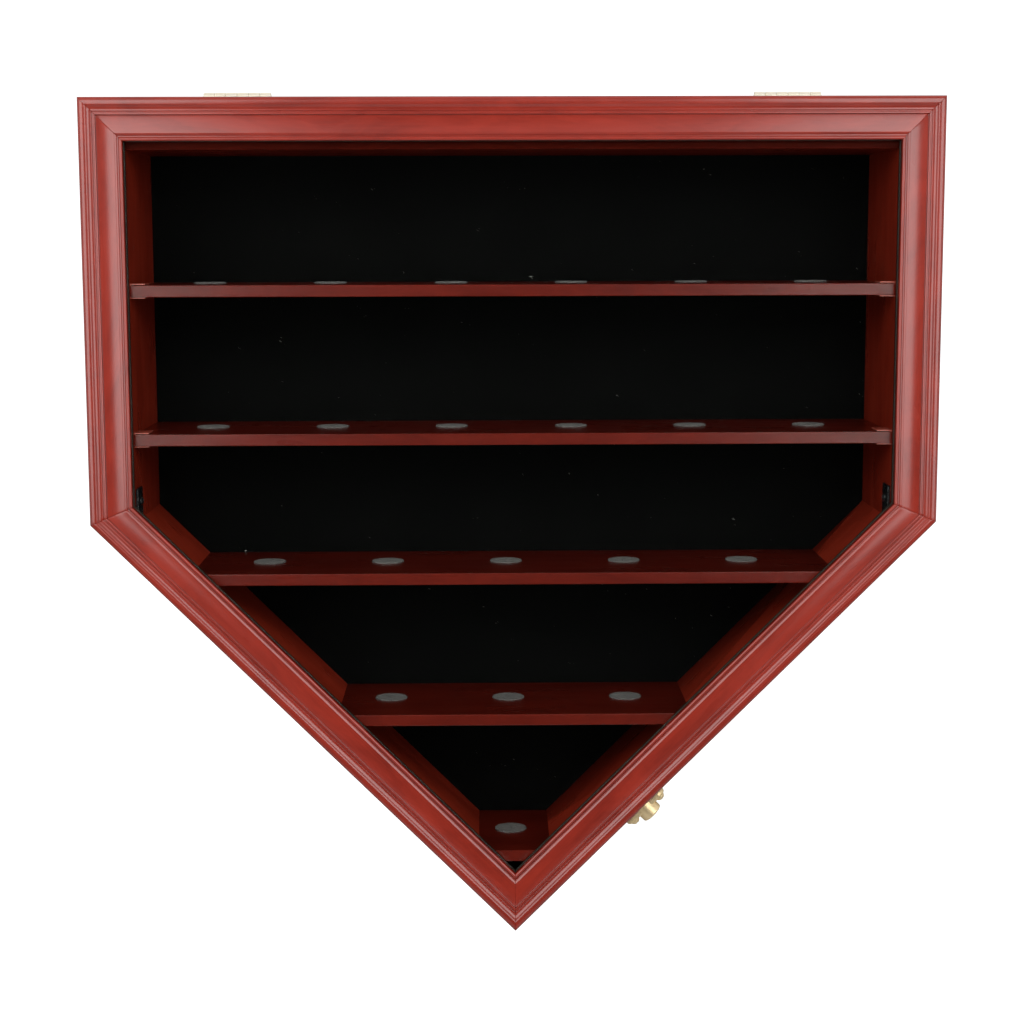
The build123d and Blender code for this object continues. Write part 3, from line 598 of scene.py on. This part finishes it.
def liningSkin():
    # Grid point = (w(z) s, y, z): w is half the width at that height, y the front face plus sin x sin z
    # ripples that fade to nothing at the sides.
    low, high = (np.array(c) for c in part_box("felt_lining"))
    z = np.linspace(high[2], low[2] + lining["tip"], lining["rows"])
    wide = np.minimum(high[0], z - low[2])
    s = np.linspace(-1, 1, lining["columns"])
    x = wide[:, None] * s
    deep = np.broadcast_to(z[:, None], x.shape)
    fade = 1 - s[None] ** lining["fade"]
    waves = 1 + np.sin(lining["waveX"] * x + lining["shift"]) * np.sin(lining["waveZ"] * deep)
    y = low[1] + lining["ripple"] * fade * waves
    front = np.stack([x, y, deep], -1)
    back = np.stack([x, np.full_like(x, high[1]), deep], -1)
    return tube(np.concatenate([front, back[:, ::-1]], 1))


felt = makePiece("felt_sheet", [liningSkin()], blackFelt, "box", ["felt_lining"])


# Round felt rests: discs with a rounded, fuzzy rim.

rests = {"counts": {1: 6, 2: 6, 3: 5, 4: 3, 5: 1}, "segments": 96, "fuzz": 0.00022, "draw": 0.5,
         "rimFrom": 0.9, "crown": 0.00012, "calm": 2.5, "topFrom": 0.2,
         "radii": (0.02, 0.3, 0.6, 0.8, 0.92, 0.975, 1.0, 1.0, 0.985),
         "heights": (1.0, 1.0, 1.0, 0.99, 0.96, 0.86, 0.6, 0.25, 0.0)}


def restSkin(x, y, low, radius, height, number):
    # Ring k has radius r(k) and height h(k) of a rounded rim. Both get a fixed pseudo-random fuzz by angle:
    # the radius near the rim, the height on the top.
    angle = np.linspace(0, 2 * math.pi, rests["segments"], endpoint=False)
    r, h = np.array(rests["radii"])[:, None], np.array(rests["heights"])[:, None]
    wobble = np.random.default_rng(number).normal(0, 1, (len(r), rests["segments"]))
    reach = radius * r - rests["fuzz"] * (rests["draw"] + np.abs(wobble) * (r > rests["rimFrom"]))
    up = low + height * h + rests["crown"] * (wobble - rests["calm"]) * (h > rests["topFrom"])
    return tube(np.stack([x + reach * np.cos(angle), y + reach * np.sin(angle), np.maximum(up, low)], -1))


for shelf, count in rests["counts"].items():
    low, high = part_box(f"ball_rests_{shelf}")
    radius, height, y = (high.y - low.y) / 2, high.z - low.z, (low.y + high.y) / 2
    middles = np.linspace(low.x + radius, high.x - radius, count) if count > 1 else [(low.x + high.x) / 2]
    skins = [restSkin(x, y, low.z, radius, height, 10 * shelf + i) for i, x in enumerate(middles)]
    makePiece(f"rests_{shelf}", skins, greyFelt, "box", [f"ball_rests_{shelf}"])
print("Felt made")


# Corner braces: flat strip with rounded edges, carried round the corner.

brace = {"bend": 0.0035, "thickness": 0.002, "edge": 0.0006, "screwAlong": 0.015, "lift": 0.00002,
         "end": 0.0005, "endInset": 0.0004}


def braceSkin(side):
    # Path = upright leg, arc of the bend, slanted leg; section point = path + a Y + b normal.
    low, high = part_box("corner_brace_right")
    corner = np.array([wallHalf, cornerZ])
    leg = high.z - corner[1]
    bendTurn = math.radians(45)
    reach = brace["bend"] * math.tan(bendTurn / 2)
    up, down = np.array([0, 1]), np.array([-1, -1]) / root2
    turn = np.linspace(0, bendTurn, 9)
    centre = corner + np.array([-brace["bend"], reach])
    bend = centre + brace["bend"] * np.stack([np.cos(turn), -np.sin(turn)], -1)
    steps = np.array([leg, leg - brace["end"]])[:, None]
    path = np.concatenate([corner + up * steps, bend, corner + down * steps[::-1]])
    way = unitRows(np.gradient(path, axis=0))
    normal = np.stack([way[:, 1], -way[:, 0]], -1)
    half, lift, thick = (high.y - low.y) / 2, brace["lift"], brace["thickness"]
    square = np.array([(-half, lift), (half, lift), (half, thick), (-half, thick)])
    section = softCorners(square, brace["edge"])
    rings = []
    for index, (point, out) in enumerate(zip(path, normal)):
        ring = insetOutline(section, brace["endInset"]) if index in (0, len(path) - 1) else section
        place = point + ring[:, 1:] * out
        rings.append(np.stack([side * place[:, 0], (low.y + high.y) / 2 + ring[:, 0], place[:, 1]], -1))
    return tube(np.array(rings))


for side, word in ((-1, "left"), (1, "right")):
    makePiece("brace_" + word, [braceSkin(side)], blackEnamel, "box", ["corner_brace_" + word])
print("Braces made")


# Lock case: a stadium foot and a round drum, both with rolled edges, and the barrel behind them.

lock = {"length": 0.038, "width": 0.0134, "height": 0.009, "drum": 0.0168, "drumHeight": 0.0152,
        "barrel": 0.015, "through": 0.022, "bore": 0.0101, "round": 0.0018, "screwStep": 0.0132,
        "lift": 0.00002, "rim": 0.0011, "chamfer": 0.0008, "drumFoot": 0.001, "dishOuter": 0.0058,
        "dishInner": 0.0054, "dishDrop": 0.0003, "boreDrop": 0.0005, "segments": 64}


def lockFrame():
    # The plug's joint is at the middle of the foot. Three axes go with it: along the board's slant, across it
    # in Y, and out, square to its outer face.
    joint = [j for j in frame["joints"] if j["name"] == "lock_turn"][0]
    middle = np.array(joint["pos_m"], float)
    out = np.array([1, 0, -1]) / root2
    along = np.array([1, 0, 1]) / root2
    return middle, along, np.array([0, 1.0, 0]), out


def stadium(length, width, count=72):
    # Outline of a slot: half circles of half the width, moved apart by the rest of the length.
    angle = np.linspace(0, 2 * math.pi, count, endpoint=False)
    x = np.cos(angle) * width / 2
    return np.stack([x + np.sign(np.round(x, 9)) * (length - width) / 2, np.sin(angle) * width / 2], -1)


def stepped(outlines, heights):
    # Rings of an outline at given heights above the lock's foot.
    middle, along, across, out = lockFrame()
    rings = []
    for ring, height in zip(outlines, heights):
        rings.append(middle + ring[:, :1] * along + ring[:, 1:] * across + height * out)
    return tube(np.array(rings))


def lockSkins():
    # Foot = stadium that draws in by a quarter circle at its top. Drum and barrel = one profile turned round
    # the plug's axis, with a rolled rim, a shallow dish and an open bore.
    edge = lock["round"]
    bend = np.linspace(0, math.pi / 2, 6)
    drawn = edge * (1 - np.cos(bend))
    rise = edge * np.sin(bend)
    length, width, height = lock["length"], lock["width"], lock["height"]
    foot = [stadium(length, width)] + [stadium(length - 2 * d, width - 2 * d) for d in drawn]
    footHeights = [lock["lift"]] + list(height - edge + rise)
    bore, barrel, radius = lock["bore"] / 2, lock["barrel"] / 2, lock["drum"] / 2
    rim, top, deep = lock["rim"], lock["drumHeight"], -lock["through"]
    profile = [(bore, deep), (barrel - lock["chamfer"], deep), (barrel, deep + lock["chamfer"])]
    profile += [(barrel, lock["drumFoot"]), (radius, lock["drumFoot"]), (radius, top - rim)]
    profile += [(radius - rim * (1 - math.cos(a)), top - rim + rim * math.sin(a)) for a in bend[1:]]
    profile += [(lock["dishOuter"], top), (lock["dishInner"], top - lock["dishDrop"])]
    profile += [(bore, top - lock["boreDrop"])]
    middle, _, _, out = lockFrame()
    points, _ = turned(profile, middle, out, lock["segments"])
    # The last ring joins on to the first, so the bore stays open.
    faces = gridFaces(len(profile) + 1, lock["segments"])
    drum = points, [[i % len(points) for i in f] for f in faces]
    return [stepped(foot, footHeights), drum]


makePiece("lock_body", lockSkins(), goldLock, "box", ["lock_case"])
print("Lock made")


# Screws: their sizes by use. Those without a rise are flush.

screws = {
    "brace": {"head": 0.0066, "shank": 0.003, "length": 0.013, "rise": 0.0022, "recess": 0.0011},
    "lock": {"head": 0.0076, "shank": 0.0034, "length": 0.021, "rise": 0.0034, "recess": 0.0014},
    "hinge": {"head": 0.005, "shank": 0.0026, "length": 0.008, "recess": 0.0009},
    "back": {"head": 0.005, "shank": 0.0026, "length": 0.013, "recess": 0.0009},
    "hanger": {"head": 0.005, "shank": 0.0026, "length": 0.014, "recess": 0.0009},
}


def partedAt(points, axis, gap=0.004):
    # Points sorted along one axis and parted where the next one is more than the gap away.
    ordered = points[points[:, axis].argsort()]
    return np.split(ordered, np.where(np.diff(ordered[:, axis]) > gap)[0] + 1)


def flushPlaces(node, direction):
    # Short screws along Y: the node's vertices are parted in X and then in Z, one screw to each part.
    mesh = nodes[node].data
    points = np.zeros(len(mesh.vertices) * 3)
    mesh.vertices.foreach_get("co", points)
    places = []
    for column in partedAt(points.reshape(-1, 3), 0):
        for one in partedAt(column, 2):
            middle = (one.min(0) + one.max(0)) / 2
            middle[1] = one[:, 1].min() if direction[1] > 0 else one[:, 1].max()
            places.append((middle, direction))
    return places


def bracePlaces():
    # One screw into the upright board and one into the slanted board, both equally far from the bend.
    low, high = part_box("corner_brace_right")
    y = (low.y + high.y) / 2
    thick, along = brace["thickness"], brace["screwAlong"]
    places = []
    for side in (-1, 1):
        into = np.array([side, 0, -1]) / root2
        leg = np.array([side * wallHalf, y, cornerZ]) + along * np.array([-side, 0, -1]) / root2
        places.append((np.array([side * (wallHalf - thick), y, cornerZ + along]), np.array([side, 0, 0])))
        places.append((leg - thick * into, into))
    return places


def lockPlaces():
    # Two screws on the ears, at the top of the lock's foot.
    middle, along, _, out = lockFrame()
    steps = (-lock["screwStep"], lock["screwStep"])
    return [(middle + step * along + lock["height"] * out, -out) for step in steps]


def screwGroup(name, node, size, places, material, body):
    # One piece that holds a screw at each place.
    skins = [screwSkin(place, way, size, number) for number, (place, way) in enumerate(places)]
    makePiece(name, skins, material, body, [node])


flushGroups = [
    ("hinge_screws_box", "hinge_box_screws", "hinge", 1, brass, "box", "brass"),
    ("hinge_screws_door", "hinge_door_screws", "hinge", -1, brass, "door", "brass"),
    ("strike_fixings", "strike_screws", "hinge", -1, zinc, "door", "zinc_steel"),
    ("back_fixings", "back_panel_screws", "back", -1, zinc, "box", "zinc_steel"),
    ("hanger_fixings", "hanger_screws", "hanger", -1, zinc, "box", "zinc_steel"),
]
for name, node, kind, way, material, body, slotName in flushGroups:
    places = flushPlaces(node, np.array([0, way, 0]))
    print(name, len(places))
    screwGroup(name, node, screws[kind], places, material, body)
screwGroup("lock_fixings", "lock_screws", screws["lock"], lockPlaces(), goldLock, "box")
screwGroup("brace_fixings", "brace_screws", screws["brace"], bracePlaces(), blackEnamel, "box")
print("Screws made")


# Hinges: rolled knuckles with rounded rims, on a leaf plate.

hinge = {"knuckles": 6, "pitch": 0.0081, "gap": 0.0002, "barrel": 0.0056, "rim": 0.0005, "rimStep": 0.3,
         "segments": 40, "pinHole": 0.0011, "leaf": 0.0012, "leafGap": 0.00015, "corner": 0.0012,
         "leafRim": 0.0001, "webLap": 0.001, "webTop": 0.0028}


def knuckleEnds(low, first):
    # Near and far X of every other knuckle along the pin, from the first one of this leaf.
    order = range(first, hinge["knuckles"], 2)
    nears = [low.x + place * hinge["pitch"] + hinge["gap"] / 2 for place in order]
    return [(near, near + hinge["pitch"] - hinge["gap"]) for near in nears]


def knuckleSkins(node, first):
    # Knuckle = profile of a barrel with rounded rims, turned round the pin.
    low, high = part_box(node)
    radius, rim, hole = hinge["barrel"] / 2, hinge["rim"], hinge["pinHole"]
    early = hinge["rimStep"] * rim
    wide = hinge["pitch"] - hinge["gap"]
    profile = [(hole, 0), (radius - rim, 0), (radius - early, early), (radius, rim)]
    profile += [(radius, wide - rim), (radius - early, wide - early), (radius - rim, wide), (hole, wide)]
    axisY, axisZ = (low.y + high.y) / 2, high.z - radius
    places = [(near, axisY, axisZ) for near, _ in knuckleEnds(low, first)]
    return [turned(profile, place, (1, 0, 0), hinge["segments"]) for place in places]


def leafSkins(node, side, first):
    # Plate = prism of a rectangle with soft corners. A short web, also a prism, joins each knuckle to it.
    low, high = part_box(node)
    face = (low.y + high.y) / 2 + side * hinge["leafGap"]
    near, far = sorted((face, face + side * hinge["leaf"]))
    top = high.z - hinge["barrel"] - hinge["gap"]
    square = np.array([(low.x, low.z), (high.x, low.z), (high.x, top), (low.x, top)])
    outlines = [softCorners(square, hinge["corner"])]
    bottom, rise = top - hinge["webLap"], high.z - hinge["webTop"]
    for left, right in knuckleEnds(low, first):
        outlines.append(np.array([(left, bottom), (right, bottom), (right, rise), (left, rise)]))
    return [prism(outline, near, far, hinge["leafRim"]) for outline in outlines]


for word in ("left", "right"):
    for kind, side, first, body in (("box", 1, 0, "box"), ("door", -1, 1, "door")):
        node = f"hinge_{kind}_leaf_{word}"
        skins = knuckleSkins(node, first) + leafSkins(node, side, first)
        makePiece(f"hinge_{kind}_{word}", skins, brass, body, [node])
print("Hinges made")


# CAD nodes that keep their shape: a better material and, where a width is given, a fine bevel.

fine = {"weld": 0.000005, "segments": 2, "angle": 40}


def dress(node, material, bevel=0.0004):
    # Doubled vertices are welded first, so that the bevel finds whole edges.
    shown = nodes[node]
    shown.data.materials.clear()
    shown.data.materials.append(material)
    if bevel:
        weld = shown.modifiers.new("Join faces", "WELD")
        weld.merge_threshold = fine["weld"]
        edge = shown.modifiers.new("Fine edge", "BEVEL")
        edge.width = bevel
        edge.segments = fine["segments"]
        edge.limit_method = "ANGLE"
        edge.angle_limit = math.radians(fine["angle"])


for side in sideNames:
    dress("box_" + side, boxWood[side])
    dress("panel_strip_" + side, stripPlastic, 0.0003)
for shelf in range(1, 6):
    dress(f"shelf_{shelf}", shelfWood, 0.0008)
for clip in ("1_left", "1_right", "2_left", "2_right"):
    dress("shelf_clip_" + clip, clipPaint, 0.0003)
for word in ("left", "right"):
    dress("hinge_pin_" + word, brass, 0)
    dress("keyhole_hanger_" + word, zinc, 0.0002)
dress("back_panel", hardboard, 0)
dress("clear_panel", clearAcrylic, 0)
dress("lock_plug", goldLock, 0)
for node in ("lock_cam", "lock_cam_screw", "lock_strike"):
    dress(node, zinc, 0.0001)
print("CAD nodes dressed")


# Stage: white floor that sweeps up behind, world light, three softboxes and a camera.

stage = {"floor": -1.7, "front": -2.3, "back": 2.6, "bend": 1.2, "top": 3.2, "half": 5.0}


def sweepSkin():
    # Profile = flat floor, quarter circle, upright wall; carried along X.
    turn = np.linspace(0, math.pi / 2, 24)
    bendY = stage["back"] - stage["bend"] + stage["bend"] * np.sin(turn)
    bendZ = stage["floor"] + stage["bend"] * (1 - np.cos(turn))
    y = np.concatenate([[stage["front"]], bendY, [stage["back"]]])
    z = np.concatenate([[stage["floor"]], bendZ, [stage["top"]]])
    left = np.stack([np.full_like(y, -stage["half"]), y, z], -1)
    right = left * [-1, 1, 1]
    points = np.concatenate([left, right])
    count = len(y)
    faces = [(i, i + 1, i + 1 + count, i + count) for i in range(count - 1)]
    mesh = bpy.data.meshes.new("studio_sweep")
    mesh.from_pydata(points.tolist(), [], faces)
    mesh.polygons.foreach_set("use_smooth", np.ones(len(faces), bool))
    return mesh


sweep = bpy.data.objects.new("studio_sweep", sweepSkin())
bpy.context.scene.collection.objects.link(sweep)
paper, tree, shader, coords = newMaterial("white_paper")
mottle = noise(tree, coords, scale=2, detail=2)
tree.links.new(ranged(tree, mottle, (0.3, 0.7), (0.9, 0.95)), shader.inputs["Roughness"])
shader.inputs["Base Color"].default_value = (0.6, 0.6, 0.6, 1)
shader.inputs["Emission Color"].default_value = (1, 1, 1, 1)
# It glows for camera rays only, so the ground of the picture is plain white.
cameraRay = tree.nodes.new("ShaderNodeLightPath").outputs["Is Camera Ray"]
tree.links.new(cameraRay, shader.inputs["Emission Strength"])
sweep.data.materials.append(paper)
sweep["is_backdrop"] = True

room = {"fill": 0.33, "front": 0.05, "surround": 0.8}
world = bpy.data.worlds.new("studio")
world.use_nodes = True
bpy.context.scene.world = world
tree = world.node_tree
sky = tree.nodes["Background"]
sky.inputs["Color"].default_value = (1, 1, 1, 1)
rays = tree.nodes.new("ShaderNodeLightPath")
# Mirror rays see a bright surround and a dim front; the world's direction runs from -1 in front to 1 behind.
direction = tree.nodes.new("ShaderNodeSeparateXYZ")
tree.links.new(tree.nodes.new("ShaderNodeTexCoord").outputs["Generated"], direction.inputs[0])
surround = ranged(tree, direction.outputs["Y"], (-0.8, -0.1), (room["front"], room["surround"]))
soft = combined(tree, "MULTIPLY", rays.outputs["Is Diffuse Ray"], room["fill"])
sheen = combined(tree, "MULTIPLY", rays.outputs["Is Glossy Ray"], surround)
strength = combined(tree, "ADD", rays.outputs["Is Camera Ray"], combined(tree, "ADD", soft, sheen))
tree.links.new(strength, sky.inputs["Strength"])

# Three softboxes aimed at the case. The front one doesn't show in reflections.
lights = {
    "softbox_left": {"place": (-0.98, -1.7, 0.1), "size": (1.2, 1.4), "power": 14.5, "mirrored": True},
    "softbox_right": {"place": (0.98, -1.7, 0.1), "size": (1.2, 1.4), "power": 14.5, "mirrored": True},
    "softbox_front": {"place": (0, -1.1, 0.4), "size": (1.8, 0.7), "power": 13.2, "mirrored": False},
}
aim = Vector((0, -0.06, -0.25))
for name, values in lights.items():
    data = bpy.data.lights.new(name, "AREA")
    data.shape = "RECTANGLE"
    data.size, data.size_y = values["size"]
    data.energy = values["power"]
    lamp = bpy.data.objects.new(name, data)
    lamp.location = values["place"]
    lamp.rotation_euler = (aim - lamp.location).to_track_quat("-Z", "Y").to_euler()
    lamp.visible_camera = False
    lamp.visible_glossy = values["mirrored"]
    bpy.context.scene.collection.objects.link(lamp)

# Camera fitted to the edges seen in the photograph: place, and the directions to its right, up and ahead.
view = {"sensor": 36, "lens": 69.75, "place": (-0.02356, -1.57031, -0.08599),
        "right": (0.99988, -0.01546, -0.00282), "up": (0.00487, 0.13408, 0.99096),
        "ahead": (0.01494, 0.99085, -0.13414)}
cameraData = bpy.data.cameras.new("camera")
cameraData.sensor_width = view["sensor"]
cameraData.lens = view["lens"]
camera = bpy.data.objects.new("camera", cameraData)
turnRows = np.array([view["right"], view["up"], [-a for a in view["ahead"]]]).T
camera.matrix_world = Matrix.Translation(view["place"]) @ Matrix(turnRows.tolist()).to_4x4()
bpy.context.scene.collection.objects.link(camera)
bpy.context.scene.camera = camera
bpy.context.scene.view_settings.view_transform = "Standard"
print("Stage set")

bpy.context.view_layer.update()
low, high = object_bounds()
